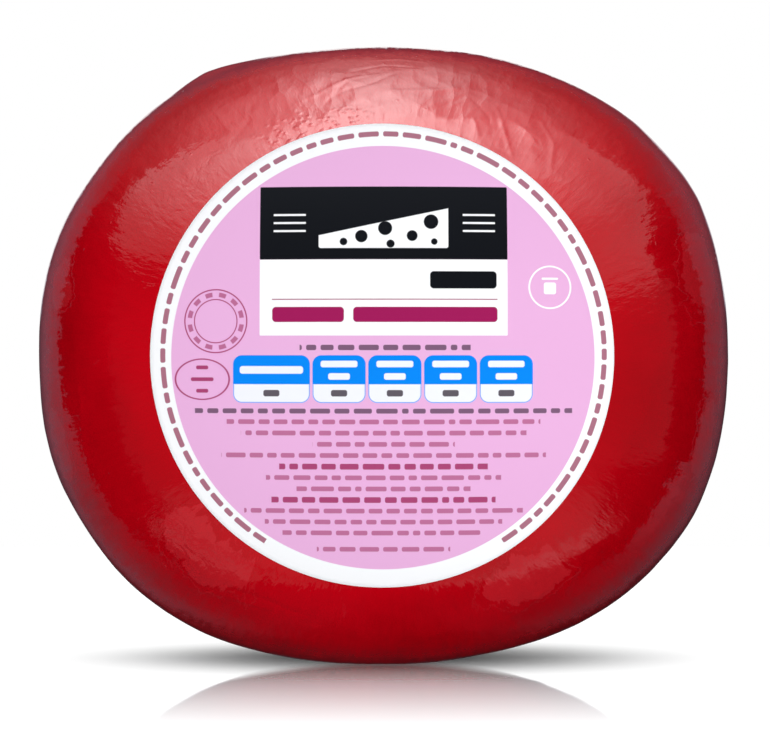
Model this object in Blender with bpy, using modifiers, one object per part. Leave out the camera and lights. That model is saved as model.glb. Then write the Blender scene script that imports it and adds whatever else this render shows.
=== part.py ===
"""Ball of semi-hard cheese, waxed red and sealed in skin-tight film, with a round paper label.

Units are metres. +Z is up and the label faces -Y. The origin is the middle of the flat
spot that the ball rests on.
"""

import math

import bmesh
import bpy
from mathutils import Vector

# The ball: a body of revolution about Z, a little squarer than an ellipse
BALL_WIDTH = 0.136
BALL_HEIGHT = 0.1211
SQUARENESS = 2.29
SETTLED = 0.00055

# The label: a paper disc that follows the ball, stuck on a little left of its middle and low
LABEL_RADIUS = 0.0435
LABEL_ASIDE = -0.00027
LABEL_RAISED = -0.00021
LABEL_THICKNESS = 0.00025
LABEL_GAP = 0.0003

# How finely the round forms are divided
BALL_SEGMENTS = 84
BALL_RINGS = 48
LABEL_SEGMENTS = 64
LABEL_RINGS = 8
WELD_DISTANCE = 1e-6

# The finishes: colour, roughness and weight of the clear coat
RIND_RED = (0.42, 0.003, 0.008)
RIND_ROUGHNESS = 0.35
FILM_GLOSS = 1.0
PAPER_PINK = (0.80, 0.43, 0.73)
PAPER_ROUGHNESS = 0.45
PAPER_GLOSS = 0.2

# Swells (+) and flats (-) of the pressed ball, each as degrees round the label from its right,
# degrees in front of the widest part, reach in degrees, and height
SWELLS = (
    (28, 0, 9, 0.0008),
    (43, 4, 7, 0.0003),
    (112, 0, 6, 0.0004),
    (122, 0, 7, 0.0013),
    (148, 2, 11, -0.0009),
    (211, 0, 9, -0.0008),
    (239, 3, 9, 0.0003),
    (290, 0, 12, -0.0005),
    (333, 0, 8, 0.0003),
    (65, -48, 20, -0.0007),
    (160, -40, 18, 0.0006),
    (250, -42, 20, -0.0006),
    (345, -50, 16, 0.0005),
)


def toward(round_label, ahead):
    """The direction at this angle round the label, turned forward from the widest part."""
    turn = math.radians(round_label)
    lean = math.radians(ahead)
    across = Vector((math.cos(turn), 0, math.sin(turn)))
    return across * math.cos(lean) + Vector((0, -math.sin(lean), 0))


SWELL_DIRECTIONS = [toward(turn, ahead) for turn, ahead, _, _ in SWELLS]


def swell(direction):
    """How far the ball stands out of its smooth form in this direction."""
    total = 0.0
    for centre, (_, _, reach, height) in zip(SWELL_DIRECTIONS, SWELLS):
        total += height * math.exp(-((direction.angle(centre) / math.radians(reach)) ** 2))
    return total


def smooth_radius(direction):
    """Distance from the ball's middle to its smooth form."""
    half_width = BALL_WIDTH / 2
    half_height = BALL_HEIGHT / 2 + (SETTLED if direction.z < 0 else 0)
    across = math.hypot(direction.x, direction.y) / half_width
    up = abs(direction.z) / half_height
    return (across**SQUARENESS + up**SQUARENESS) ** (-1 / SQUARENESS)


def ball_point(direction):
    """The ball's surface in this direction, flattened where the ball rests."""
    point = direction * (smooth_radius(direction) + swell(direction))
    point.z = max(point.z + BALL_HEIGHT / 2, 0)
    return point


def front_depth(x, z):
    """How far in front of the ball's middle its face lies at this place beside the middle."""
    half_width = BALL_WIDTH / 2
    half_height = BALL_HEIGHT / 2 + (SETTLED if z < 0 else 0)
    waist = half_width * (1 - (abs(z) / half_height) ** SQUARENESS) ** (1 / SQUARENESS)
    return math.sqrt(waist**2 - x**2)


def painted(name, colour, roughness, coat):
    """A Principled material of one colour, with a clear coat."""
    material = bpy.data.materials.new(name)
    material.use_nodes = True
    shader = material.node_tree.nodes["Principled BSDF"]
    shader.inputs["Base Color"].default_value = (*colour, 1)
    shader.inputs["Roughness"].default_value = roughness
    shader.inputs["Metallic"].default_value = 0
    shader.inputs["Coat Weight"].default_value = coat
    material.diffuse_color = (*colour, 1)
    return material


def add_piece(name, bm, material, collection):
    """An object of this mesh, shaded smooth, in the collection."""
    mesh = bpy.data.meshes.new(name)
    bm.to_mesh(mesh)
    bm.free()
    mesh.materials.append(material)
    mesh.shade_smooth()
    piece = bpy.data.objects.new(name, mesh)
    collection.objects.link(piece)
    return piece


def make_ball(collection):
    """The cheese with its rind and film: a sphere drawn out to the pressed form."""
    bm = bmesh.new()
    bmesh.ops.create_uvsphere(
        bm, u_segments=BALL_SEGMENTS, v_segments=BALL_RINGS, radius=1
    )
    for vertex in bm.verts:
        vertex.co = ball_point(vertex.co.normalized())
    red = painted("red_rind_under_film", RIND_RED, RIND_ROUGHNESS, FILM_GLOSS)
    return add_piece("ball", bm, red, collection)


def make_label(collection):
    """The paper disc: a spoke spun to a disc, laid on the ball and thickened outwards."""
    bm = bmesh.new()
    spoke = [
        bm.verts.new((LABEL_RADIUS * ring / LABEL_RINGS, 0, 0))
        for ring in range(LABEL_RINGS + 1)
    ]
    edges = [bm.edges.new(pair) for pair in zip(spoke, spoke[1:])]
    bmesh.ops.spin(
        bm,
        geom=spoke + edges,
        cent=(0, 0, 0),
        axis=(0, 1, 0),
        angle=math.tau,
        steps=LABEL_SEGMENTS,
        use_merge=True,
    )
    bmesh.ops.remove_doubles(bm, verts=bm.verts, dist=WELD_DISTANCE)
    for vertex in bm.verts:
        x = vertex.co.x + LABEL_ASIDE
        z = vertex.co.z + LABEL_RAISED
        vertex.co = (x, -front_depth(x, z) - LABEL_GAP, z + BALL_HEIGHT / 2)
    bmesh.ops.recalc_face_normals(bm, faces=bm.faces)
    middle = min(bm.faces, key=lambda face: face.calc_center_median().y)
    if middle.normal.y > 0:
        bmesh.ops.reverse_faces(bm, faces=bm.faces)
    paper = painted("printed_paper", PAPER_PINK, PAPER_ROUGHNESS, PAPER_GLOSS)
    label = add_piece("label", bm, paper, collection)
    sheet = label.modifiers.new("paper_thickness", "SOLIDIFY")
    sheet.thickness = LABEL_THICKNESS
    sheet.offset = 1
    sheet.use_even_offset = True
    return label


def main():
    for leftover in list(bpy.data.objects):
        bpy.data.objects.remove(leftover)
    collection = bpy.data.collections.new("ball_of_cheese")
    bpy.context.scene.collection.children.link(collection)
    make_ball(collection)
    make_label(collection)


main()
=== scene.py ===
"""Looks of the ball of cheese: a red waxed rind under skin-tight film, and a printed paper label.

Lengths are in metres unless a comment or a name says mm. A place on the ball is given as
degrees round the label, from its right over its top, and degrees in front of the widest part.
"""

import math

import bmesh
import bpy
import numpy as np
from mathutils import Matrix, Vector
from mathutils.bvhtree import BVHTree


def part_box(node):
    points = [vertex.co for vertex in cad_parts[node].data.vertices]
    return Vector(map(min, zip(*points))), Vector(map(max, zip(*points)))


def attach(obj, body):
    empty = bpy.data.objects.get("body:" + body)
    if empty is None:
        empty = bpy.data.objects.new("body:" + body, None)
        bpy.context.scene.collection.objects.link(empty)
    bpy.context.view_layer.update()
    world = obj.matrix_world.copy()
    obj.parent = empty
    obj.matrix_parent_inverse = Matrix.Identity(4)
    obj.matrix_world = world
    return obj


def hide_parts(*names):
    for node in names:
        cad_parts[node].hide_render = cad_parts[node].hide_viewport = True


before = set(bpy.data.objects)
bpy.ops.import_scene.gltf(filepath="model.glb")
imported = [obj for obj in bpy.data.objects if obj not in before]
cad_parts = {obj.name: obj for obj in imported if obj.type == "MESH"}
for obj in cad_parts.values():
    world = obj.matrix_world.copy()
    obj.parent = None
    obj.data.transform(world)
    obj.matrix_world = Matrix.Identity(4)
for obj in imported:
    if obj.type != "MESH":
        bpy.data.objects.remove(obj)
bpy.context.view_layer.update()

MM = 0.001

# The ball's form, the same as the solid's
ball_low, ball_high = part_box("ball")
label_low, label_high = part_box("label")
HALF_WIDTH = (ball_high.x - ball_low.x) / 2
HEIGHT = ball_high.z - ball_low.z
SQUARENESS = 2.29
SETTLED = 0.00055
SWELLS = (
    (28, 0, 9, 0.0008),
    (43, 4, 7, 0.0003),
    (112, 0, 6, 0.0004),
    (122, 0, 7, 0.0013),
    (148, 2, 11, -0.0009),
    (211, 0, 9, -0.0008),
    (239, 3, 9, 0.0003),
    (290, 0, 12, -0.0005),
    (333, 0, 8, 0.0003),
    (65, -48, 20, -0.0007),
    (160, -40, 18, 0.0006),
    (250, -42, 20, -0.0006),
    (345, -50, 16, 0.0005),
)

# The paper label, a little smaller than the solid, and how its rim lifts and wavers
PAPER_INSET = 0.15 * MM
PAPER_RADIUS = (label_high.x - label_low.x) / 2 - PAPER_INSET
PAPER_BACK = 0.06 * MM
PAPER_FRONT = 0.30 * MM
PAPER_ASIDE = (label_low.x + label_high.x) / 2
PAPER_RAISED = (label_low.z + label_high.z - HEIGHT) / 2
RIM_START = 0.9
RIM_LIFT = 0.03 * MM
RIM_LIFT_SHARE = 1.5
RIM_WAVES = (5, 9, 14, 23)
RIM_SEED = 3

# How finely the pieces are divided. The ball's rings are given as degrees in front of the widest
# part, the last three sets as their start, end and step or count
BALL_SEGMENTS = 588
LABEL_SEGMENTS = 192
LABEL_RINGS = 48
RINGS_UNDER_LABEL = (80, 70, 62, 57, 54)
RINGS_ROUND_LABEL = (52.5, 14, -0.42)
RINGS_AT_EDGE = (14, -4, -0.85)
RINGS_BEHIND = (-5.5, -88.6, 48)

# The spokes stand closer together about this angle, over this reach, by this share
CROWDED_AT, CROWDED_REACH, CROWDED_SHARE = 88, 42, 1.6

# Folds in the film: height in mm, half width in mm, and the places that each runs through
FOLDS = (
    (0.10, 0.55, ((110.9, 41.5), (103.8, 39.4), (97.1, 35.8), (91.1, 34.4))),
    (-0.11, 0.50, ((103.9, 43.5), (99.2, 40.1), (92.8, 38.2), (86.9, 33.6))),
    (-0.10, 0.45, ((103.4, 43.2), (100.0, 39.6), (97.4, 36.5))),
    (0.07, 0.60, ((93.8, 27.5), (86.8, 26.4), (81.0, 27.6))),
    (0.09, 0.60, ((90.8, 41.1), (81.9, 39.9), (71.3, 36.4))),
    (-0.08, 0.50, ((97.0, 33.0), (90.0, 30.5), (82.0, 31.0))),
    (0.10, 0.55, ((69.4, 44.4), (65.9, 49.4))),
    (0.12, 0.55, ((65.6, 39.3), (61.1, 45.3), (56.5, 49.9))),
    (0.10, 0.55, ((60.4, 41.0), (53.3, 43.8))),
    (-0.08, 0.50, ((72.5, 38.0), (66.0, 43.0), (62.5, 48.5))),
    (0.09, 0.50, ((57.5, 36.5), (51.0, 41.0), (47.5, 47.5))),
    (-0.07, 0.50, ((79.0, 45.5), (74.0, 41.0), (70.5, 36.0))),
    (0.08, 0.50, ((118.0, 47.5), (113.5, 42.0), (112.5, 36.0))),
    (-0.07, 0.50, ((126.0, 44.0), (120.0, 40.5), (117.5, 35.0))),
    (-0.20, 0.75, ((206.2, 10.0), (208.0, 22.6), (210.3, 34.2))),
    (-0.17, 0.65, ((210.2, 12.0), (211.0, 20.1), (212.8, 29.8))),
    (0.08, 0.55, ((209.0, 16.0), (210.0, 26.0), (213.5, 38.0))),
    (-0.18, 0.75, ((333.7, 33.1), (336.2, 23.9), (336.0, 12.0))),
    (-0.12, 0.65, ((330.0, 25.9), (333.1, 12.3))),
    (0.10, 0.70, ((228.0, 30.0), (238.0, 36.0), (247.0, 38.0))),
    (-0.08, 0.60, ((233.0, 37.5), (244.0, 40.0), (258.0, 38.5))),
    (0.10, 0.70, ((305.0, 30.0), (313.0, 37.0), (318.0, 44.0))),
    (0.08, 0.60, ((296.0, 33.0), (307.0, 37.5))),
    (0.07, 0.90, ((164.6, 26.7), (188.5, 30.8), (203.3, 27.6))),
    (0.05, 0.90, ((165.4, 19.2), (188.1, 23.6), (204.0, 21.0))),
)
FOLD_END_WIDTH = 0.45
FOLD_SHARPNESS = 1.5
FOLD_RUN_OUT = 0.6
FOLD_ENDS = (0.04, 0.96)

# Where the film lies in flat facets between creases: place, reach in degrees, strength
FACETED = (
    (95, 42, 13, 1.0),
    (76, 42, 13, 1.0),
    (60, 44, 12, 0.9),
    (118, 40, 12, 0.5),
    (45, 36, 12, 0.35),
    (222, 40, 9, 0.5),
    (318, 38, 10, 0.5),
    (60, -30, 22, 0.8),
    (150, -40, 24, 0.8),
    (255, -35, 24, 0.8),
    (340, -40, 24, 0.8),
)
LEAST_FACETED = 0.10

# Facets in two sizes: how many on the ball, how far their corners stand in or out in mm, seed
LARGE_FACETS = (900, 0.085, 11)
SMALL_FACETS = (3200, 0.050, 12)
LARGE_FACET_SHARE = 0.8
SMALL_FACETS_ABOVE = 0.12
FACET_JITTER = 0.45
FACET_POLE = 89.9

# Slow waves in the film: length and height in mm, how much higher behind, seed, and where they
# grow, in degrees behind the widest part
FILM_WAVES = ((17, 0.030, 0.05, 1), (7.5, 0.010, 0.020, 2))
WAVES_GROW = (-8, 50)

# Pleats behind: their counts round the ball, seed, height in mm, sharpness, how deep they lie,
# where they grow, in degrees behind the widest part, and how they fade at the pole
PLEAT_COUNTS = (17, 23, 31, 41, 53, 67)
PLEAT_SEED = 5
PLEAT_HEIGHT = 0.32
PLEAT_SHARPNESS = 1.3
PLEAT_DEPTH = 0.4
PLEATS_GROW = (-14, 66)
PLEAT_FADE = 0.8

# Where the film's relief fades out under the label, in degrees in front of the widest part
UNDER_LABEL = (49.2, 52.5)


def toward(round_label, ahead):
    """Unit directions from the ball's middle to these places, one row each."""
    turn = np.radians(np.atleast_1d(np.asarray(round_label, float)))
    lean = np.radians(np.atleast_1d(np.asarray(ahead, float)))
    turn, lean = np.broadcast_arrays(turn, lean)
    return np.stack([np.cos(turn) * np.cos(lean), -np.sin(lean), np.sin(turn) * np.cos(lean)], 1)


def smooth_step(values, start, end):
    """0 before start and 1 after end, turning smoothly between them."""
    share = np.clip((values - start) / (end - start), 0, 1)
    return share * share * (3 - 2 * share)


def degrees_from(directions, centre):
    """The angle between each direction and the centre's."""
    return np.degrees(np.arccos(np.clip(directions @ centre, -1, 1)))


def patch(directions, round_label, ahead, reach):
    """1 at this place, fading out over the reach in degrees."""
    away = degrees_from(directions, toward(round_label, ahead)[0])
    return np.exp(-((away / reach) ** 2))


def half_height(up):
    """How high the smooth form stands above the middle, or hangs below it."""
    return HEIGHT / 2 + np.where(up < 0, SETTLED, 0)


def smooth_radius(directions):
    """Distance from the middle to the ball's smooth form."""
    across = np.hypot(directions[:, 0], directions[:, 1]) / HALF_WIDTH
    up = np.abs(directions[:, 2]) / half_height(directions[:, 2])
    return (across**SQUARENESS + up**SQUARENESS) ** (-1 / SQUARENESS)


def swell(directions):
    """How far the pressed ball stands out of its smooth form."""
    return sum(
        height * patch(directions, turn, ahead, reach) for turn, ahead, reach, height in SWELLS
    )


def front_depth(x, z):
    """How far in front of the ball's middle its smooth form lies, beside the middle."""
    share = np.abs(z) / half_height(z)
    waist = HALF_WIDTH * (1 - share**SQUARENESS) ** (1 / SQUARENESS)
    return np.sqrt(waist**2 - x**2)


def ripple(directions, wave_mm, seed, waves=48):
    """Random smooth unevenness of about this wavelength, from about -1 to 1."""
    chance = np.random.default_rng(seed)
    axes = chance.normal(size=(waves, 3))
    axes /= np.linalg.norm(axes, axis=1)[:, None]
    turns = math.tau * HALF_WIDTH / (wave_mm * MM) * chance.uniform(0.75, 1.3, waves)
    starts = chance.uniform(0, math.tau, waves)
    total = np.zeros(len(directions))
    for axis, turn, start in zip(axes, turns, starts):
        total += np.cos(directions @ axis * turn + start)
    return total / math.sqrt(waves)


def fold(directions, half_width_mm, places):
    """A narrow ridge along the places, highest halfway and running out at both ends."""
    stops = toward([place[0] for place in places], [place[1] for place in places])
    lengths = np.linalg.norm(np.diff(stops, axis=0), axis=1)
    run = np.concatenate([[0], np.cumsum(lengths)]) / lengths.sum()
    nearest = np.full(len(directions), np.inf)
    along = np.zeros(len(directions))
    for start, end, first, last in zip(stops, stops[1:], run, run[1:]):
        step = end - start
        share = np.clip((directions - start) @ step / (step @ step), 0, 1)
        away = np.linalg.norm(directions - (start + share[:, None] * step), axis=1)
        closer = away < nearest
        nearest = np.where(closer, away, nearest)
        along = np.where(closer, first + share * (last - first), along)
    swelling = FOLD_END_WIDTH + (1 - FOLD_END_WIDTH) * np.sin(math.pi * along)
    width = half_width_mm * MM / HALF_WIDTH * swelling
    crest = np.exp(-((nearest / width) ** FOLD_SHARPNESS))
    return crest * np.sin(math.pi * np.clip(along, *FOLD_ENDS)) ** FOLD_RUN_OUT


def facets(directions, corners, height_mm, seed):
    """How far a taut skin of flat facets stands off the ball that its corners lie on, in mm."""
    chance = np.random.default_rng(seed)
    count = np.arange(corners) + 0.5
    lean = np.degrees(np.arcsin(1 - 2 * count / corners))
    turn = 360 * count * (math.sqrt(5) - 1) / 2
    jitter = FACET_JITTER * math.degrees(math.sqrt(2 * math.tau / corners))
    lean = np.clip(lean + chance.uniform(-jitter, jitter, corners), -FACET_POLE, FACET_POLE)
    turn = turn + chance.uniform(-jitter, jitter, corners) / np.cos(np.radians(lean))
    points = toward(turn, lean)
    points *= 1 + chance.normal(0, height_mm * MM / HALF_WIDTH, corners)[:, None]
    skin = bmesh.new()
    for point in points:
        skin.verts.new(point)
    bmesh.ops.convex_hull(skin, input=skin.verts)
    skin.verts.ensure_lookup_table()
    tree = BVHTree.FromBMesh(skin)
    skin.free()
    origin = Vector((0, 0, 0))
    reach = np.array([tree.ray_cast(origin, Vector(row))[3] or 1.0 for row in directions])
    return (reach - 1) * HALF_WIDTH / MM


def film_relief(directions, round_label, ahead):
    """How far the film stands off the pressed ball, in mm, at each vertex."""
    faceted = np.full(len(directions), LEAST_FACETED)
    for turn, lean, reach, strength in FACETED:
        faceted = np.maximum(faceted, strength * patch(directions, turn, lean, reach))
    relief = LARGE_FACET_SHARE * faceted * facets(directions, *LARGE_FACETS)
    crumpled = np.flatnonzero(faceted > SMALL_FACETS_ABOVE)
    relief[crumpled] += faceted[crumpled] * facets(directions[crumpled], *SMALL_FACETS)
    behind = smooth_step(-ahead, *WAVES_GROW)
    for wave_mm, height_mm, more_behind, seed in FILM_WAVES:
        relief += (height_mm + more_behind * behind) * ripple(directions, wave_mm, seed)
    for height_mm, half_width_mm, places in FOLDS:
        relief += height_mm * fold(directions, half_width_mm, places)
    relief += gathers(round_label, ahead)
    return relief * (1 - smooth_step(ahead, *UNDER_LABEL))


def gathers(round_label, ahead):
    """Pleats that run back from the widest part and draw together behind, in mm."""
    chance = np.random.default_rng(PLEAT_SEED)
    turn = np.radians(round_label)
    pleats = np.zeros(len(turn))
    for count in PLEAT_COUNTS:
        pleats += chance.uniform(0.5, 1) * np.cos(count * turn + chance.uniform(0, math.tau))
    sharp = np.maximum(pleats, 0) ** PLEAT_SHARPNESS - PLEAT_DEPTH
    growth = smooth_step(-ahead, *PLEATS_GROW) * np.cos(np.radians(ahead)) ** PLEAT_FADE
    return PLEAT_HEIGHT * growth * sharp


def ring_angles():
    """Degrees in front of the widest part for each ring, finest where the film shows most."""
    sets = (np.arange(*RINGS_ROUND_LABEL), np.arange(*RINGS_AT_EDGE), np.linspace(*RINGS_BEHIND))
    return np.concatenate([RINGS_UNDER_LABEL, *sets])


def turn_angles():
    """Degrees round the label for each spoke, closest together over the label's top."""
    turn = np.arange(0, 360, 0.05)
    crowding = 1 + CROWDED_SHARE * np.exp(-(((turn - CROWDED_AT) / CROWDED_REACH) ** 2))
    run = np.cumsum(crowding) / crowding.sum()
    return np.interp(np.arange(BALL_SEGMENTS) / BALL_SEGMENTS, run, turn)


def add_piece(name, corners, faces, material, node):
    """A smooth piece of this mesh that rides on the body and stands for the node."""
    mesh = bpy.data.meshes.new(name)
    mesh.from_pydata(corners.tolist(), [], faces)
    mesh.validate()
    mesh.shade_smooth()
    mesh.materials.append(material)
    piece = bpy.data.objects.new(name, mesh)
    bpy.context.scene.collection.objects.link(piece)
    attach(piece, "root")
    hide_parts(node)
    return piece


def closed_faces(rings, segments):
    """Faces between rings of corners, numbered ring by ring, and to a point past each end."""
    place = np.arange(segments)
    after = (place + 1) % segments
    faces = []
    for ring in range(rings - 1):
        near, far = ring * segments, (ring + 1) * segments
        quads = np.stack([near + place, near + after, far + after, far + place], 1)
        faces.extend(quads.tolist())
    front, last = rings * segments, (rings - 1) * segments
    for here, beside in zip(place.tolist(), after.tolist()):
        faces.append([front, beside, here])
        faces.append([front + 1, last + here, last + beside])
    return faces


def make_ball(material):
    """The ball: rings about the label's axis, closed by a point in front and one behind."""
    rings = ring_angles()
    turn = turn_angles()
    ahead, round_label = (grid.ravel() for grid in np.meshgrid(rings, turn, indexing="ij"))
    ahead = np.concatenate([ahead, [90, -90]])
    round_label = np.concatenate([round_label, [0, 0]])
    directions = toward(round_label, ahead)
    relief = film_relief(directions, round_label, ahead) * MM
    corners = directions * (smooth_radius(directions) + swell(directions) + relief)[:, None]
    corners[:, 2] = np.maximum(corners[:, 2] + HEIGHT / 2, 0)
    faces = closed_faces(len(rings), BALL_SEGMENTS)
    return add_piece("waxed_ball_in_film", corners, faces, material, "ball")


def make_label(material):
    """The label: a paper disc laid on the ball, with a front, an edge and a back."""
    chance = np.random.default_rng(RIM_SEED)
    radii = np.linspace(0, PAPER_RADIUS, LABEL_RINGS + 1)[1:]
    turn = np.arange(LABEL_SEGMENTS) * math.tau / LABEL_SEGMENTS
    wobble = sum(
        chance.uniform(-1, 1) * np.cos(count * turn + chance.uniform(0, math.tau))
        for count in RIM_WAVES
    )
    layers = []
    for lift, order in ((PAPER_FRONT, radii), (PAPER_BACK, radii[::-1])):
        for radius in order:
            x = radius * np.cos(turn) + PAPER_ASIDE
            z = radius * np.sin(turn) + PAPER_RAISED
            edge = smooth_step(radius, PAPER_RADIUS * RIM_START, PAPER_RADIUS)
            raised = lift + RIM_LIFT * edge * (wobble + RIM_LIFT_SHARE)
            layers.append(np.stack([x, -front_depth(x, z) - raised, z + HEIGHT / 2], 1))
    middle = float(front_depth(PAPER_ASIDE, PAPER_RAISED))
    ends = [
        (PAPER_ASIDE, -middle - lift, HEIGHT / 2 + PAPER_RAISED)
        for lift in (PAPER_FRONT, PAPER_BACK)
    ]
    corners = np.concatenate(layers + [np.array(ends)])
    faces = closed_faces(len(layers), LABEL_SEGMENTS)
    return add_piece("paper_label", corners, faces, material, "label")


class Field:
    """A number, colour or direction that varies over a surface. Sums on it add Math nodes."""

    def __init__(self, paint, socket):
        self.paint = paint
        self.socket = socket

    def math(self, operation, *others, clamp=False):
        values = dict(enumerate((self, *others)))
        return self.paint.node("Math", {"operation": operation, "use_clamp": clamp}, values)

    def __add__(self, other):
        return self.math("ADD", other)

    __radd__ = __add__

    def __sub__(self, other):
        return self.math("SUBTRACT", other)

    def __rsub__(self, other):
        return self.math("MULTIPLY_ADD", -1.0, other)

    def __mul__(self, other):
        return self.math("MULTIPLY", other)

    __rmul__ = __mul__

    def __truediv__(self, other):
        return self.math("DIVIDE", other)

    def __pow__(self, power):
        return self.math("POWER", power)

    def __abs__(self):
        return self.math("ABSOLUTE")

    def least(self, other):
        return self.math("MINIMUM", other)

    def most(self, other):
        return self.math("MAXIMUM", other)

    def floor(self):
        return self.math("FLOOR")

    def between(self, start, end):
        """0 before start and 1 after end, turning smoothly between them."""
        ends = {"Value": self, "From Min": start, "From Max": end}
        return self.paint.node("MapRange", {"interpolation_type": "SMOOTHSTEP"}, ends)

    def inside(self, soft):
        """1 where this distance is below zero, with an edge this soft."""
        return self.math("MULTIPLY_ADD", -1 / soft, 0.5, clamp=True)


class Paint:
    """The nodes of one material, or of the surroundings."""

    def __init__(self, tree):
        self.tree = tree
        tree.nodes.clear()

    def node(self, kind, settings=None, values=None, out=0):
        """A node of this kind, with its settings and then its inputs; the result is one output."""
        made = self.tree.nodes.new("ShaderNode" + kind)
        for name, setting in (settings or {}).items():
            if name == "stops":
                self.set_stops(made.color_ramp, setting)
            elif name == "steps":
                made.color_ramp.interpolation = "CONSTANT"
            else:
                setattr(made, name, setting)
        for name, value in (values or {}).items():
            if isinstance(value, Field):
                self.tree.links.new(value.socket, made.inputs[name])
            else:
                made.inputs[name].default_value = value
        return Field(self, made.outputs[out]) if made.outputs else made

    def set_stops(self, ramp, stops):
        """Grey stops on a ramp, as (position, brightness)."""
        while len(ramp.elements) < len(stops):
            ramp.elements.new(0.5)
        for element, (position, grey) in zip(ramp.elements, stops):
            element.position = position
            element.color = (grey, grey, grey, 1)

    def split(self, vector):
        """The three numbers of a direction or place."""
        made = self.node("SeparateXYZ", values={"Vector": vector}).socket.node
        return [Field(self, socket) for socket in made.outputs]

    def vector(self, operation, *values, out=0, **more):
        """One Vector Math node."""
        places = {**dict(enumerate(values)), **more}
        return self.node("VectorMath", {"operation": operation}, places, out)

    def mix(self, share, first, second):
        """The first colour where share is 0, and the second where it is 1."""
        inputs = {0: share, 6: first, 7: second}
        return self.node("Mix", {"data_type": "RGBA"}, inputs, 2)

    def noise(self, place, size_mm, detail=2.0, roughness=0.5, distortion=0.0):
        """Cloudy unevenness with features about this size, from 0 to 1."""
        inputs = {
            "Vector": place,
            "Scale": 1 / (size_mm * MM),
            "Detail": detail,
            "Roughness": roughness,
            "Distortion": distortion,
        }
        return self.node("TexNoise", values=inputs)

    def cells(self, place, size_mm, feature="F1", out=0):
        """Irregular cells of about this size: how far their middles are, or a colour for each."""
        inputs = {"Vector": place, "Scale": 1 / (size_mm * MM)}
        return self.node("TexVoronoi", {"feature": feature}, inputs, out)

    def near(self, place, round_label, ahead, reach):
        """1 on this place of the ball, fading out at the reach in degrees."""
        direction = toward(round_label, ahead)
        x, y, z = (direction[0] * smooth_radius(direction)[0]).tolist()
        centre = (x, y, z + HEIGHT / 2)
        away = self.vector("DISTANCE", place, centre, out="Value")
        return 1 - away.between(0.0, math.radians(reach) * HALF_WIDTH)

    def near_any(self, place, spots):
        """The most that near gives for any of these spots."""
        most = self.near(place, *spots[0])
        for spot in spots[1:]:
            most = most.most(self.near(place, *spot))
        return most

    def near_all(self, place, spots):
        """What near gives for these spots together, up to 1."""
        return sum(self.near(place, *spot) for spot in spots).least(1.0)


def new_material(name):
    """A material with its Principled shader still to be made."""
    material = bpy.data.materials.new(name)
    material.use_nodes = True
    return material, Paint(material.node_tree)


def finish_material(paint, shader_settings, relief, lean=None):
    """The Principled shader with these inputs, a relief in mm, and a lean of the surface."""
    bumped = paint.node("Bump", values={"Strength": 1.0, "Distance": MM, "Height": relief})
    if lean is not None:
        bumped = paint.vector("NORMALIZE", paint.vector("ADD", bumped, lean))
    shader = paint.node("BsdfPrincipled", values={**shader_settings, "Normal": bumped})
    paint.node("OutputMaterial", values={"Surface": shader})


# The red wax and the film
WAX_RED = (0.50, 0.0006, 0.0062, 1)
WAX_DEEP = (0.43, 0.0004, 0.0050, 1)
# A lighter, greyer red for the milky patches: a painted sheen, not a colour of the wax
WAX_PAINTED_SHEEN = (0.56, 0.018, 0.027, 1)
FILM_ROUGHNESS, CLOUDY_ROUGHNESS = 0.045, 0.06
FILM_IOR = 1.5

# The film's wrinkles run away from the label, so their pattern is stretched that way
COMB_RADIUS = 55 * MM
COMB_STRETCH = 0.35
FRINGE_STRETCH = 0.35

# Spots on the film, as place and reach in degrees: where air under it looks milky and the wax is
# painted lighter as a painted sheen, and where it is crumpled, swirled and full of bubbles
AIR_POCKETS_WITH_SHEEN = (
    (229, 42, 15),
    (303, 42, 12),
    (14, 22, 13),
    (196, 17, 11),
    (168, 22, 9),
    (345, 20, 11),
)
CRUMPLED = ((105, 40, 34), (66, 42, 32))
SWIRLED = ((137, 44, 14), (225, 42, 12))
BUBBLED = ((112, 49, 10), (100, 49, 8))
# Edges of the milky patches and their rims, and how much of the painted sheen each takes
MILKY_SHEEN, PAINTED_SHEEN_SHARE = (0.44, 0.50), 0.55
AIR_RIM_AT, AIR_RIM, RIM_SHEEN_SHARE = 0.30, (0.004, 0.030), 0.25

# The film stays smooth at the widest part, in degrees from there
SMOOTH_RIM = (4.0, 17.0)

# Noises, each as its size in mm, detail, roughness and distortion, with its height in mm
CLOUDS, CLOUD_EDGE = (26, 3.0), (0.35, 0.7)
RAGS, RAG_REACH = (5.0, 6.0, 0.62, 0.4), 1.5
WRINKLES, WRINKLE_HEIGHT, WRINKLE_CRUMPLED = (1.5, 3.0, 0.6), 0.070, 0.4
CREASES, CREASE_HEIGHT = (3.2, 3.0, 0.55, 0.3), 0.11
PUCKERS, PUCKER_HEIGHT = (2.8, 2.0), 0.030
WAVES, WAVE_HEIGHT = (7.0, 1.5, 0.5, 0.8), 0.035
SWIRLS, SWIRL_HEIGHT = (5.0, 2.0, 0.5, 2.4), 0.14

# Sizes, edges and heights of the other fine relief, in mm
FACET_SIZE, FACET_HEIGHT = 2.5, 0.11
BUBBLE_SIZE, BUBBLE_EDGE, BUBBLE_HEIGHT = 1.35, 0.45, 0.36
SPECK_SIZE, SPECK_EDGE, SPECK_HEIGHT = 2.6, 0.16, 0.30
SPECK_CHANCE = (0.90, 0.93)
AIR_HEIGHT, AIR_RIM_HEIGHT = 0.008, 0.012

# Fringes lean the surface to and fro without raising it: noise, lean, how much less if crumpled
FRINGES, FRINGE_LEAN, FRINGE_CRUMPLED = (1.15, 3.0, 0.62), 0.17, 0.7


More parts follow.
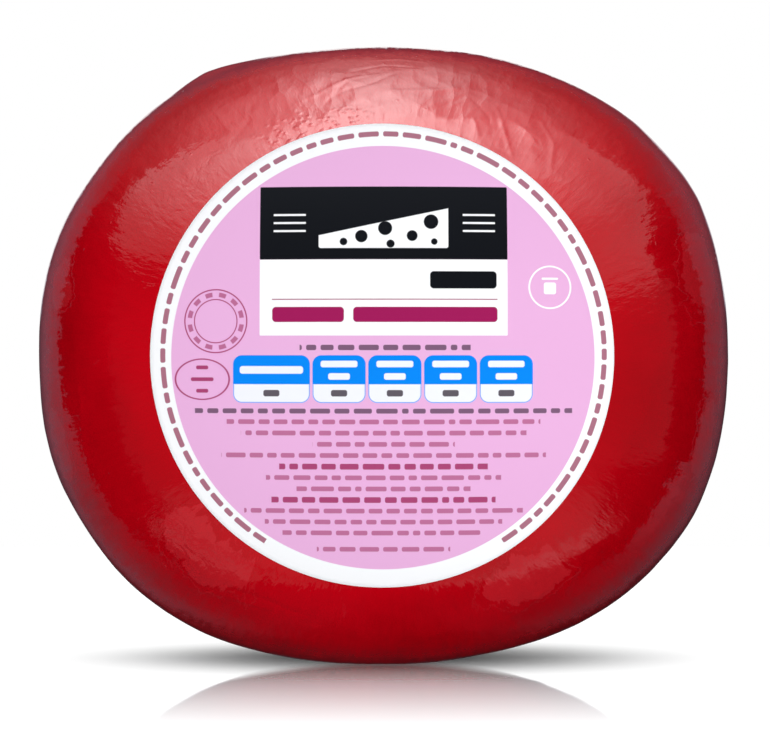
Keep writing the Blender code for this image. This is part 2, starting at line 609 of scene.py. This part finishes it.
def waxed_film():
    """Red wax seen through film that clings to it: gloss broken by fine puckers and bubbles, with
    a painted sheen where air lies under the film.
    """
    material, paint = new_material("red_wax_under_clear_film")
    place = paint.node("TexCoord", out="Object")
    x, y, z = paint.split(place)
    up = z - HEIGHT / 2
    from_axis = (x * x + up * up) ** 0.5
    ahead = (-1.0 * y).math("ARCTAN2", from_axis).math("DEGREES")
    combed = paint.node(
        "CombineXYZ",
        values={
            "X": x / from_axis * COMB_RADIUS,
            "Y": up / from_axis * COMB_RADIUS,
            "Z": ahead * (COMB_STRETCH * HALF_WIDTH * math.pi / 180),
        },
    )
    fringed = paint.vector("MULTIPLY", combed, (1, 1, FRINGE_STRETCH))
    off_rim = abs(ahead - 1.0).between(*SMOOTH_RIM)

    # Milky patches with ragged edges where air lies under the film; there and at their rims the
    # wax is painted lighter and greyer, a painted sheen
    cloudy = paint.noise(place, *CLOUDS)
    ragged = paint.noise(combed, *RAGS)
    pocket = paint.near_all(place, AIR_POCKETS_WITH_SHEEN) + (ragged - 0.5) * RAG_REACH
    milky_with_sheen = pocket.between(*MILKY_SHEEN)
    air_rim_with_sheen = 1 - abs(pocket - AIR_RIM_AT).between(*AIR_RIM)
    colour = paint.mix(cloudy.between(*CLOUD_EDGE), WAX_RED, WAX_DEEP)
    colour = paint.mix(milky_with_sheen * PAINTED_SHEEN_SHARE + air_rim_with_sheen * RIM_SHEEN_SHARE, colour, WAX_PAINTED_SHEEN)

    # Combed wrinkles and creases, puckers and waves
    crumpled = paint.near_all(place, CRUMPLED)
    wrinkles = paint.noise(combed, *WRINKLES) - 0.5
    wrinkles = WRINKLE_HEIGHT * wrinkles * (1 - WRINKLE_CRUMPLED * crumpled)
    creases = abs(paint.noise(combed, *CREASES) - 0.5)
    puckers = paint.noise(place, *PUCKERS) - 0.5
    waves = paint.noise(place, *WAVES) - 0.5
    height = off_rim * (wrinkles + CREASE_HEIGHT * creases + PUCKER_HEIGHT * puckers)
    height = height + WAVE_HEIGHT * waves

    # Small flat facets, swirls, bubbles and rare specks
    facet = paint.cells(combed, FACET_SIZE)
    height = height + FACET_HEIGHT * facet * facet * crumpled
    swirls = paint.noise(place, *SWIRLS) - 0.5
    height = height + SWIRL_HEIGHT * swirls * paint.near_any(place, SWIRLED)
    bubbles = (BUBBLE_EDGE - paint.cells(place, BUBBLE_SIZE, "SMOOTH_F1")).most(0.0)
    height = height + BUBBLE_HEIGHT * bubbles * paint.near_any(place, BUBBLED)
    chance = paint.split(paint.cells(place, SPECK_SIZE, out="Color"))[0]
    specks = (SPECK_EDGE - paint.cells(place, SPECK_SIZE)).most(0.0)
    height = height + SPECK_HEIGHT * specks * chance.between(*SPECK_CHANCE)
    height = height + AIR_HEIGHT * milky_with_sheen + AIR_RIM_HEIGHT * air_rim_with_sheen * off_rim

    # Fringes that tear the edges of what the gloss mirrors
    fringes = paint.noise(fringed, *FRINGES) - 0.5
    fringes = fringes * off_rim * (1 - FRINGE_CRUMPLED * crumpled)
    lean = paint.node("CombineXYZ", values={"X": 0.0, "Y": FRINGE_LEAN * fringes, "Z": 0.0})
    roughness = FILM_ROUGHNESS + CLOUDY_ROUGHNESS * cloudy
    settings = {"Base Color": colour, "Roughness": roughness, "IOR": FILM_IOR}
    finish_material(paint, settings, height, lean)
    return material


# The label's inks
WHITE = (0.935, 0.948, 0.975, 1)
PINK = (0.795, 0.437, 0.724, 1)
BLACK = (0.0055, 0.0065, 0.0090, 1)
BLUE = (0.003, 0.242, 0.894, 1)
CELL_WHITE = (0.860, 0.882, 0.946, 1)
MAGENTA = (0.34, 0.012, 0.10, 1)
RING_INK = (0.30, 0.014, 0.085, 1)
DARK_INK = (0.030, 0.012, 0.030, 1)

# Places on the label in mm from its middle. A box is its left, right, bottom, top and corner
PINK_FIELD = (-0.12, -0.60, 39.55)
BLACK_PANEL = (-22.95, 23.0, 17.6, 31.2, 0.2)
WHITE_PANEL = (-22.95, 23.0, 3.5, 17.6, 0.2)
THIN_RULE = (-20.65, 21.1, 10.12, 10.30, 0.05)
TITLE = (8.6, 20.95, 12.2, 15.4, 0.7)
HEADINGS = ((-20.6, -7.3, 6.0, 8.8, 0.7), (-5.6, 21.1, 6.0, 8.8, 0.7))

# The wedge of cheese, its sloping top, its holes as discs, and the rules beside it
WEDGE = (-12.0, 12.0, 19.7, 29.6, 0.4)
WEDGE_TOP, WEDGE_SLOPE = 24.6, 0.21
HOLES = (
    (-7.4, 20.9, 0.7),
    (-4.1, 21.9, 1.15),
    (0.3, 23.4, 1.3),
    (1.3, 20.5, 0.75),
    (5.3, 22.0, 1.0),
    (8.8, 24.6, 1.35),
    (9.4, 20.9, 0.6),
)
RULE_SIDES = ((-20.4, -14.4), (14.7, 20.7))
RULE_LEVELS = (22.9, 24.4, 25.9)
RULE_HALF = 0.18

# The row of cells, blue above and white below, in a line. A bar in a cell is its half length,
# bottom, top and corner
CELLS = ((-27.9, -13.6), (-13.1, -3.3), (-2.8, 7.0), (7.5, 17.3), (17.8, 27.7))
CELL_BOTTOM, CELL_SPLIT, CELL_TOP, CELL_CORNER = -8.95, -5.5, -0.15, 1.66
CELL_LINE, CELL_LINE_SHARE = 0.09, 0.8
WIDE_CELL = 12.0
WIDE_BARS = ((5.9, -3.55, -2.15, 0.5),)
NARROW_BARS = ((3.4, -2.35, -1.15, 0.4), (2.0, -4.65, -3.45, 0.4))
LOWER_BAR = (1.5, -7.75, -6.55, 0.4)
BAR_SHARE = 0.9

# Lines of words: level, middle, half length, shift, half height, length of a word, gap
UPPER_LINE = (1.3, 0.3, 15.3, 0.0, 0.50, 3.6, 0.8)
LOWER_LINE = (-10.45, 0.0, 34.7, 9.0, 0.45, 3.6, 0.8)
LAST_LINE = (-36.3, 0.0, 12.0, 0.0, 0.44, 3.5, 0.75)
DARK_WORDS_SHARE = 0.78

# The magenta lines between those two, by their half lengths from the top down
LINE_TOP, LINE_PITCH = -12.45, 2.075
LINE_LENGTHS = (29.1, 26.5, 13.15, 30.2, 19.2, 21.8, 16.1, 20.7, 25.95, 22.1, 18.8)
LONGEST_LINE = 40.0
LINE_END = 0.4
LINE_SHIFT = 37.7
LINE_WORDS = (0.44, 3.5, 0.75)
LINE_SHARE = 0.66
BOLD_LINES = (4, 7)
BOLD_SHARE, BOLD_EXTRA = 0.22, 0.10

# The words round the white ring, which end this many degrees from the top
RING_RADIUS, RING_END = 41.3, 147
RING_WORDS = (0.50, 3.7, 0.8)
RING_SHARE = 0.85

# Plain signs: a double ring round dashes, an oval and a small ring, each line with its half
# width, and the bars in them
DASHED_RING = (-31.2, 6.2)
RING_LINES = ((5.85, 0.12), (4.02, 0.10))
DASH_RADIUS, DASH_HALF, DASH_SHARE = 4.93, 0.42, 0.7
DASH_EDGE = (0.20, 0.28)
DASH_COUNT = 12
OVAL = (-33.75, -4.6, 5.1, 3.75)
OVAL_LINE = 0.12
OVAL_BARS = (
    (-34.9, -32.6, -2.75, -2.05, 0.3),
    (-35.9, -31.6, -4.95, -4.25, 0.3),
    (-34.9, -32.6, -7.1, -6.4, 0.3),
)
SIGN_SHARE = 0.9
SMALL_RING = (30.95, 12.5, 3.9)
SMALL_RING_LINE = 0.16
SMALL_RING_BARS = ((29.8, 32.1, 11.2, 13.4, 0.4), (29.4, 32.5, 13.9, 14.3, 0.2))

# How soft the print's edges are in mm, how round the words' ends, and the paper's fibres and
# waves, as the size in mm and the detail of the noise
EDGE = 0.10
WORD_ROUNDNESS = 0.7
PAPER_ROUGHNESS, FIBRE_ROUGHNESS = 0.52, 0.10
PAPER_GLOSS = 0.02
FIBRES, FIBRE_HEIGHT = (0.8, 3.0), 0.006
PAPER_WAVES, PAPER_WAVE_HEIGHT = (9, 1.0), 0.05


class Print:
    """Shapes on the label, as distances in mm from their edges, below zero inside."""

    def __init__(self, paint):
        self.paint = paint
        self.place = paint.node("TexCoord", out="Object")
        x, _, z = paint.split(self.place)
        self.across = x / MM
        self.up = (z - HEIGHT / 2) / MM
        self.at = paint.node("CombineXYZ", values={"X": self.across, "Y": self.up, "Z": 0.0})

    def box(self, left, right, bottom, top, corner=0.1):
        centre = ((left + right) / 2, (bottom + top) / 2, 0)
        half = ((right - left) / 2 - corner, (top - bottom) / 2 - corner, 0)
        away = self.paint.vector("SUBTRACT", self.at, centre)
        away = self.paint.vector("ABSOLUTE", away)
        away = self.paint.vector("SUBTRACT", away, half)
        away = self.paint.vector("MAXIMUM", away, (0, 0, 0))
        return self.paint.vector("LENGTH", away, out="Value") - corner

    def disc(self, x, y, radius):
        return self.paint.vector("DISTANCE", self.at, (x, y, 0), out="Value") - radius

    def oval(self, x, y, half_width, half_height):
        away = self.paint.vector("SUBTRACT", self.at, (x, y, 0))
        away = self.paint.vector("MULTIPLY", away, (half_height / half_width, 1, 0))
        return self.paint.vector("LENGTH", away, out="Value") - half_height

    def nearest(self, shapes):
        """The distance to the nearest of several shapes."""
        nearest = shapes[0]
        for shape in shapes[1:]:
            nearest = nearest.least(shape)
        return nearest

    def words(self, along, beside, half_tall, word_mm, gap_mm):
        """Distance to rounded bars, broken like words along a line."""
        cells = {"voronoi_dimensions": "1D", "feature": "DISTANCE_TO_EDGE"}
        inputs = {"W": along / word_mm, "Scale": 1.0}
        edge = self.paint.node("TexVoronoi", cells, inputs, "Distance") * word_mm
        corner = half_tall * WORD_ROUNDNESS
        past_end = (gap_mm / 2 + corner - edge).most(0.0)
        past_side = (beside - (half_tall - corner)).most(0.0)
        return (past_end * past_end + past_side * past_side) ** 0.5 - corner

    def line_of_words(self, level, middle, reach, shift, half_tall, word_mm, gap_mm):
        """Distance to bars like words on a level line."""
        beside = abs(self.up - level).most(abs(self.across - middle) - reach)
        return self.words(self.across + shift, beside, half_tall, word_mm, gap_mm)

    def turns(self, x, y):
        """The turn about a point as a share of a whole circle."""
        turn = (self.across - x).math("ARCTAN2", self.up - y)
        return turn / math.tau

    def ink(self, colour, shape, ink, share=1.0):
        """The colour with this ink printed inside the shape."""
        return self.paint.mix(shape.inside(EDGE) * share, colour, ink)


def print_panels(sheet, colour):
    """White and black panels, a wedge of cheese between rules, a thin rule and headings."""
    colour = sheet.ink(colour, sheet.box(*WHITE_PANEL), WHITE)
    colour = sheet.ink(colour, sheet.box(*BLACK_PANEL), BLACK)
    slope = sheet.up - WEDGE_TOP - sheet.across * WEDGE_SLOPE
    holes = sheet.nearest([sheet.disc(*hole) for hole in HOLES])
    wedge = sheet.box(*WEDGE).most(slope).most(-1.0 * holes)
    rules = [
        sheet.box(left, right, level - RULE_HALF, level + RULE_HALF)
        for left, right in RULE_SIDES
        for level in RULE_LEVELS
    ]
    colour = sheet.ink(colour, sheet.nearest([wedge, *rules]), WHITE)
    colour = sheet.ink(colour, sheet.box(*THIN_RULE), RING_INK)
    colour = sheet.ink(colour, sheet.box(*TITLE), BLACK)
    return sheet.ink(colour, sheet.nearest([sheet.box(*place) for place in HEADINGS]), MAGENTA)


def print_cells(sheet, colour):
    """The row of cells, each blue over white in a blue line, with bars in place of words."""
    cells = sheet.nearest(
        [sheet.box(left, right, CELL_BOTTOM, CELL_TOP, CELL_CORNER) for left, right in CELLS]
    )
    cell_ink = sheet.paint.mix((CELL_SPLIT - sheet.up).inside(EDGE), CELL_WHITE, BLUE)
    colour = sheet.ink(colour, cells, cell_ink)
    colour = sheet.ink(colour, abs(cells + CELL_LINE) - CELL_LINE, BLUE, CELL_LINE_SHARE)
    upper_bars = []
    lower_bars = []
    for left, right in CELLS:
        middle = (left + right) / 2
        bars = WIDE_BARS if right - left > WIDE_CELL else NARROW_BARS
        for half, *sides in bars:
            upper_bars.append(sheet.box(middle - half, middle + half, *sides))
        half, *sides = LOWER_BAR
        lower_bars.append(sheet.box(middle - half, middle + half, *sides))
    colour = sheet.ink(colour, sheet.nearest(upper_bars), WHITE, BAR_SHARE)
    return sheet.ink(colour, sheet.nearest(lower_bars), DARK_INK, BAR_SHARE)


def print_lines(sheet, colour):
    """Lines of bars in place of words: two dark ones, and a block of magenta ones below."""
    paint, across, up = sheet.paint, sheet.across, sheet.up
    dark = sheet.line_of_words(*UPPER_LINE).least(sheet.line_of_words(*LOWER_LINE))
    colour = sheet.ink(colour, dark, DARK_INK, DARK_WORDS_SHARE)
    lines = len(LINE_LENGTHS)
    count = ((LINE_TOP + LINE_PITCH / 2 - up) / LINE_PITCH).floor()
    count = count.most(0.0).least(lines - 1.0)
    stops = [(line / lines, long / LONGEST_LINE) for line, long in enumerate(LINE_LENGTHS)]
    settings = {"stops": stops, "steps": True}
    reach = paint.node("ValToRGB", settings, {"Fac": (count + 0.5) / lines})
    reach = paint.split(reach)[0] * LONGEST_LINE
    away = abs(up - LINE_TOP + count * LINE_PITCH)
    bold = sum(count.math("COMPARE", float(line), 0.5) for line in BOLD_LINES)
    beside = away.most(abs(across) - reach + LINE_END) - BOLD_EXTRA * bold
    block = sheet.words(across + count * LINE_SHIFT, beside, *LINE_WORDS)
    block = block.least(sheet.line_of_words(*LAST_LINE))
    return sheet.ink(colour, block, MAGENTA, LINE_SHARE + BOLD_SHARE * bold)


def print_ring(sheet, colour):
    """Bars in place of words round the white ring."""
    radius = sheet.paint.vector("LENGTH", sheet.at, out="Value")
    turn = sheet.across.math("ARCTAN2", sheet.up)
    past_end = (abs(turn) - math.radians(RING_END)) * RING_RADIUS
    beside = abs(radius - RING_RADIUS).most(past_end)
    ring = sheet.words(turn * RING_RADIUS, beside, *RING_WORDS)
    return sheet.ink(colour, ring, RING_INK, RING_SHARE)


def print_signs(sheet, colour):
    """Plain signs at the sides."""
    signs = [abs(sheet.disc(*DASHED_RING, radius)) - half for radius, half in RING_LINES]
    signs.append(abs(sheet.oval(*OVAL)) - OVAL_LINE)
    signs.extend(sheet.box(*bar) for bar in OVAL_BARS)
    colour = sheet.ink(colour, sheet.nearest(signs), MAGENTA, SIGN_SHARE)
    turns = sheet.turns(*DASHED_RING) * DASH_COUNT
    dashes = sheet.paint.node("Math", {"operation": "PINGPONG"}, {0: turns, 1: 0.5})
    band = abs(sheet.disc(*DASHED_RING, DASH_RADIUS)) - DASH_HALF
    colour = sheet.ink(colour, band, MAGENTA, dashes.between(*DASH_EDGE) * DASH_SHARE)
    colour = sheet.ink(colour, abs(sheet.disc(*SMALL_RING)) - SMALL_RING_LINE, WHITE)
    return sheet.ink(colour, sheet.nearest([sheet.box(*bar) for bar in SMALL_RING_BARS]), WHITE)


def printed_paper():
    """The label's print on paper: fields of colour, bars in place of words, and plain signs."""
    material, paint = new_material("printed_label_paper")
    sheet = Print(paint)
    colour = paint.mix(sheet.disc(*PINK_FIELD).inside(EDGE), WHITE, PINK)
    for part in (print_panels, print_cells, print_lines, print_ring, print_signs):
        colour = part(sheet, colour)
    fibre = paint.noise(sheet.place, *FIBRES)
    waves = paint.noise(sheet.place, *PAPER_WAVES)
    settings = {
        "Base Color": colour,
        "Roughness": PAPER_ROUGHNESS + FIBRE_ROUGHNESS * fibre,
        "Specular IOR Level": PAPER_GLOSS,
    }
    finish_material(paint, settings, FIBRE_HEIGHT * fibre + PAPER_WAVE_HEIGHT * waves)
    return material


# The board, and the disc above it that shades it. The board mirrors only at a low angle, in
# front of the ball, and less the farther away
BOARD_RADIUS = 0.6
BOARD_DROP = 0.05 * MM
SHADE_RADIUS = 0.046
SHADE_PLACE = (0, 0.012, 0.026)
DISC_SEGMENTS = 96
MIRROR_SHARE = 0.77
MIRROR_START, MIRROR_REACH, MIRROR_FADE = 0.05, 0.138, 1.25
MIRROR_FACING = (0.86, 0.925)
MIRROR_CURVE = 55
MIRROR_EDGE = (-0.004, 0.022)
BOARD_WHITE = (0.95, 0.95, 0.95, 1)
PLAIN = (1, 1, 1, 1)
MIRROR_ROUGHNESS = 0.03


def white_gloss_board():
    """White board that mirrors the ball at a low angle, near where it stands."""
    material, paint = new_material("white_gloss_board")
    place = paint.node("TexCoord", out="Object")
    away = paint.vector("LENGTH", place, out="Value")
    fade = ((away - MIRROR_START) / MIRROR_REACH).math("MAXIMUM", 0.0, clamp=True)
    facing = paint.node("LayerWeight", values={"Blend": 0.5}, out="Facing")
    x, y, _ = paint.split(place)
    in_front = (-1.0 * y - x * x * MIRROR_CURVE).between(*MIRROR_EDGE)
    share = (1 - fade**MIRROR_FADE) * in_front * MIRROR_SHARE * facing.between(*MIRROR_FACING)
    matt = paint.node("BsdfDiffuse", values={"Color": BOARD_WHITE})
    shiny = paint.node("BsdfGlossy", values={"Color": PLAIN, "Roughness": MIRROR_ROUGHNESS})
    shader = paint.node("MixShader", values={0: share, 1: matt, 2: shiny})
    paint.node("OutputMaterial", values={"Surface": shader})
    return material


def flat_disc(name, radius, place, material):
    """A flat round sheet that is part of the set, not of the ball."""
    bm = bmesh.new()
    bmesh.ops.create_circle(bm, cap_ends=True, segments=DISC_SEGMENTS, radius=radius)
    mesh = bpy.data.meshes.new(name)
    bm.to_mesh(mesh)
    bm.free()
    mesh.materials.append(material)
    disc = bpy.data.objects.new(name, mesh)
    bpy.context.scene.collection.objects.link(disc)
    disc.location = place
    disc.visible_diffuse = False
    disc.visible_glossy = False
    return disc


def make_set():
    """The board, and a hidden disc that shades it where the ball stands."""
    gloss = white_gloss_board()
    board = flat_disc("board", BOARD_RADIUS, (0, 0, -BOARD_DROP), gloss)
    board.visible_shadow = False
    shade = flat_disc("shade", SHADE_RADIUS, SHADE_PLACE, gloss)
    shade.visible_camera = False
    shade.visible_transmission = False
    return board, shade


# What the gloss mirrors, as degrees above the horizon and brightness. Overhead is the soft
# light above, behind is what stands behind the ball, the panels stand at its sides, and the
# last is the board beside it
MOST_BRIGHT = 12.0
OVERHEAD = (
    (17, 0.0),
    (22, 0.04),
    (30, 0.21),
    (40, 0.66),
    (49, 1.8),
    (58, 3.3),
    (66, 4.4),
    (76, 7.2),
    (90, 8.2),
)
BEHIND = ((-90, 0.0), (-75, 0.012), (-45, 0.018), (-25, 0.07), (0, 0.15), (16, 0.14), (30, 0.0))
LEFT_PANEL = (
    (-90, 0.0),
    (-80, 0.20),
    (-38, 0.24),
    (-33, 0.08),
    (-8, 0.055),
    (6, 0.02),
    (18, 0.02),
    (21, 0.42),
    (28, 0.42),
    (34, 0.90),
    (46, 0.90),
    (56, 0.30),
    (62, 0.0),
)
RIGHT_PANEL = (
    (-90, 0.0),
    (-80, 0.20),
    (-38, 0.27),
    (-32, 0.10),
    (-8, 0.080),
    (11, 0.08),
    (14, 0.50),
    (22, 0.60),
    (30, 0.36),
    (36, 0.55),
    (44, 0.45),
    (56, 0.20),
    (62, 0.0),
)
BOARD_ASIDE = ((-90, 0.0), (-80, 0.20), (-44, 0.22), (-38, 0.20), (-34, 0.0), (90, 0.0))

# Where each of these starts or ends, as degrees to the side of straight back
BEHIND_EDGE = (42.0, 43.4)
LEFT_EDGE = (76.5, 80.5)
RIGHT_EDGE = (65.5, 67.5)
BOARD_NEAR_EDGE = (60.0, 64.0)
BOARD_FAR_EDGE = (70.0, 78.0)

# How much farther out what stands behind reaches, in degrees: on the right, and low down on
# the left and on the right, where it is also this much brighter
RIGHT_WIDER, LOW_LEFT_WIDER, LOW_RIGHT_WIDER = 2.5, 9.0, 6.0
LOW_RIGHT_BRIGHTER, BRIGHTER_SIDE = 0.9, (38.0, 46.0)
LOW_LEFT_TOP = (-14.0, 2.0)
LOW_RIGHT_TOP, LOW_RIGHT_BOTTOM = (-17.0, -11.0), (-38.0, -28.0)

# How much less of what stands behind shows: on the right, in the ball's own shadow on the
# board, and straight back. Shares of a whole length set where right and straight back are
RIGHT_DIMMER, SHADOW_DIMMER, STRAIGHT_DIMMER = 0.28, 0.85, 0.7
SHADOW_SIDE, SHADOW_TOP = (9.0, 20.0), (-14.0, -2.0)
ON_RIGHT, STRAIGHT_BACK = (-0.1, 0.1), (0.88, 0.998)

# The white wall far behind, as degrees to the side, and degrees up where it starts and ends
WALL_SIDE = (9.0, 14.0)
WALL_START = (0.8, 1.6)
WALL_END = (8.0, 10.0)

# What the gloss mirrors low down behind, below these heights, is a little cooler
COOL, COOL_TOP = (0.88, 0.95, 1.25, 1), (12.0, 34.0)

# How the panels' near edges move to the side: a step between two heights, and a lean for each
# degree above a height, over so many degrees. The right panel's edge grows softer as well
LEFT_STEP, LEFT_STEPPING = 6.8, (12.0, 18.0)
LEFT_LEAN, LEFT_LEANING = 2.0, (19.5, 8.0)
RIGHT_STEP, RIGHT_STEPPING = 6.5, (10.5, 13.5)
RIGHT_LEAN, RIGHT_LEANING = 2.6, (20.0, 9.0)
RIGHT_SOFTER, RIGHT_SOFTENING = 0.3, (18.0, 14.0)

# The notch low down in the right panel: the slopes of its side and of its top
NOTCH_SIDE_SLOPE, NOTCH_SIDE = 1.8, (136.0, 141.0)
NOTCH_TOP_SLOPE, NOTCH_TOP, NOTCH_START = 0.227, (-20.5, -17.5), 68.0

# How much the soft light overhead narrows low down and higher up, and weakens on the right,
# and how far out from its middle it narrows, as shares of a whole length
OVERHEAD_NARROWER, OVERHEAD_DIMMER = 0.60, 0.12
OVERHEAD_WIDENS, WIDENING = 0.08, (46.0, 60.0)
NARROW_ASIDE, NARROW_BACK = (0.04, 0.26), (0.05, 0.30)


def make_surroundings():
    """A white backdrop to look at, and a studio for the gloss to mirror."""
    world = bpy.data.worlds.new("studio")
    bpy.context.scene.world = world
    world.use_nodes = True
    world.cycles_visibility.diffuse = False
    paint = Paint(world.node_tree)
    x, y, z = paint.split(paint.node("TexCoord", out="Generated"))
    height = z.math("ARCSINE").math("DEGREES")
    aside = abs(x).math("ARCTAN2", y).math("DEGREES")
    on_right = x.between(*ON_RIGHT)

    def by_height(levels):
        """The brightness that these levels give at each height."""
        stops = [(0.5 + level / 180, bright / MOST_BRIGHT) for level, bright in levels]
        ramp = paint.node("ValToRGB", {"stops": stops}, {"Fac": height / 180 + 0.5})
        return paint.split(ramp)[0] * MOST_BRIGHT

    def above(start, most):
        """Degrees above this height, up to the most."""
        return (height - start).most(0.0).least(most)

    # What stands behind the ball
    low_left = (1 - on_right) * (1 - height.between(*LOW_LEFT_TOP))
    low_right = on_right * (1 - height.between(*LOW_RIGHT_TOP))
    low_right = low_right * height.between(*LOW_RIGHT_BOTTOM)
    wider = on_right * RIGHT_WIDER + low_left * LOW_LEFT_WIDER + low_right * LOW_RIGHT_WIDER
    behind = 1 - (aside - wider).between(*BEHIND_EDGE)
    ball_shadow = (1 - aside.between(*SHADOW_SIDE)) * (1 - height.between(*SHADOW_TOP))
    straight_back = y.between(*STRAIGHT_BACK)
    backdrop = behind * by_height(BEHIND)
    backdrop = backdrop * (1 - RIGHT_DIMMER * on_right) * (1 - SHADOW_DIMMER * ball_shadow)
    backdrop = backdrop * (1 - STRAIGHT_DIMMER * straight_back)
    backdrop = backdrop * (1 + LOW_RIGHT_BRIGHTER * low_right * aside.between(*BRIGHTER_SIDE))

    # The left panel leans out towards its top
    lean = height.between(*LEFT_STEPPING) * LEFT_STEP + above(*LEFT_LEANING) * LEFT_LEAN
    left = (1 - on_right) * (aside + lean).between(*LEFT_EDGE) * by_height(LEFT_PANEL)

    # The right panel steps back and then leans out towards its soft top, with a notch low down
    lean = above(*RIGHT_LEANING) * RIGHT_LEAN - height.between(*RIGHT_STEPPING) * RIGHT_STEP
    start, end = RIGHT_EDGE
    soft_end = above(*RIGHT_SOFTENING) * RIGHT_SOFTER + end
    right = on_right * (aside + lean).between(start, soft_end) * by_height(RIGHT_PANEL)
    notch = 1 - (aside - height * NOTCH_SIDE_SLOPE).between(*NOTCH_SIDE)
    top = height + (aside - NOTCH_START) * NOTCH_TOP_SLOPE
    right = right * (1 - notch * (1 - top.between(*NOTCH_TOP)))

    # The soft light overhead narrows downwards and is a little weaker on the right
    off_middle = abs(x).between(*NARROW_ASIDE) * y.between(*NARROW_BACK)
    narrowing = OVERHEAD_NARROWER - OVERHEAD_WIDENS * height.between(*WIDENING)
    narrowed = 1 - off_middle * narrowing
    overhead = by_height(OVERHEAD) * narrowed * (1 - OVERHEAD_DIMMER * on_right)

    beside = aside.between(*BOARD_NEAR_EDGE) * (1 - aside.between(*BOARD_FAR_EDGE))
    far_wall = (1 - aside.between(*WALL_SIDE)) * height.between(*WALL_START)
    far_wall = far_wall * (1 - height.between(*WALL_END))
    studio = overhead + backdrop + left + right + beside * by_height(BOARD_ASIDE) + far_wall
    seen = paint.node("LightPath", out="Is Camera Ray")
    low_behind = behind * (1 - height.between(*COOL_TOP)) * (1 - far_wall)
    colour = paint.mix(low_behind * (1 - seen), PLAIN, COOL)
    strength = studio + seen * (1 - studio)
    background = paint.node("Background", values={"Color": colour, "Strength": strength})
    paint.node("OutputWorld", values={"Surface": background})


# Softboxes for each piece: name, turn, height, strength
BALL_LIGHTS = (
    ("front_box", 1, 3, 1.25),
    ("upper_right_box", 50, 49, 0.06),
    ("upper_left_box", -50, 49, 0.15),
    ("overhead_box", 0, 85, 0.59),
    ("lower_right_box", 41, -49, 0.12),
    ("lower_left_box", -41, -49, 0.25),
    ("back_right_box", 160, 15, 0.40),
    ("back_left_box", -160, 15, 0.40),
    ("back_box", 180, 20, 0.35),
)
LABEL_LIGHTS = (
    ("label_front_box", 3, 0, 0.68),
    ("label_right_box", 80, 0, 0.34),
    ("label_left_box", -80, 0, 0.26),
    ("label_upper_right_box", 60, 50, 0.40),
    ("label_upper_left_box", -60, 50, 0.40),
    ("label_lower_right_box", 60, -50, 0.40),
    ("label_lower_left_box", -60, -50, 0.38),
)
BOX_SIDE, BOX_DISTANCE = 1.2, 1.6
DOME_SIDE, DOME_DISTANCE, DOME_ENERGY = 3.2, 1.0, 53


def softbox(name, turn, height, strength, lit, side=BOX_SIDE, distance=BOX_DISTANCE):
    """A square light aimed at the ball that lights only these pieces. Turn is degrees from
    straight ahead towards the right; strength is how bright it makes a white surface."""
    light = bpy.data.lights.new(name, "AREA")
    light.shape = "SQUARE"
    light.size = side
    light.energy = strength * math.pi**2 * distance**2
    box = bpy.data.objects.new(name, light)
    bpy.context.scene.collection.objects.link(box)
    turn, height = math.radians(turn), math.radians(height)
    level = math.cos(height)
    away = Vector((math.sin(turn) * level, -math.cos(turn) * level, math.sin(height)))
    box.location = Vector((0, 0, HEIGHT / 2)) + away * distance
    box.rotation_euler = away.to_track_quat("Z", "Y").to_euler()
    box.visible_glossy = False
    box.visible_camera = False
    box.light_linking.receiver_collection = lit
    return box


def collection_of(name, piece):
    """A collection of one piece, for a light to name."""
    group = bpy.data.collections.new(name)
    group.objects.link(piece)
    return group


def make_lights(ball, label, board, shade):
    """Soft light from the front on the ball, even light on the label, a dome on the board.

    Only the label casts shadows on the ball, so that its grazing light stays even.
    """
    thin = collection_of("shadows_on_ball", label)
    for piece, boxes in ((ball, BALL_LIGHTS), (label, LABEL_LIGHTS)):
        lit = collection_of("light_on_" + piece.name, piece)
        for name, turn, height, strength in boxes:
            box = softbox(name, turn, height, strength, lit)
            if piece is ball:
                box.light_linking.blocker_collection = thin
    lit = collection_of("light_on_board", board)
    dome = softbox("board_dome", 0, 90, 1.0, lit, DOME_SIDE, DOME_DISTANCE)
    dome.data.energy = DOME_ENERGY
    dome.light_linking.blocker_collection = collection_of("shade_on_board", shade)


# The camera: lens, frame width and shifts in pixels of the photograph, and sensor in mm
LENS_PX, FRAME_PX = 5054.5, 770
LEFT_PX, LOW_PX = 1.5, 18.0
SENSOR = 36
CAMERA_DISTANCE = 1.0


def make_camera():
    """The photograph's view: level, straight at the label."""
    data = bpy.data.cameras.new("camera")
    data.sensor_width = SENSOR
    data.lens = SENSOR * LENS_PX / FRAME_PX
    data.shift_x = LEFT_PX / FRAME_PX
    data.shift_y = -LOW_PX / FRAME_PX
    data.clip_start = 0.01
    camera = bpy.data.objects.new("camera", data)
    bpy.context.scene.collection.objects.link(camera)
    camera.location = (0, -CAMERA_DISTANCE, HEIGHT / 2)
    camera.rotation_euler = (math.pi / 2, 0, 0)
    bpy.context.scene.camera = camera


make_camera()
ball = make_ball(waxed_film())
ball.visible_diffuse = False
label = make_label(printed_paper())
board, shade = make_set()
make_surroundings()
make_lights(ball, label, board, shade)
bpy.context.scene.view_settings.view_transform = "Standard"
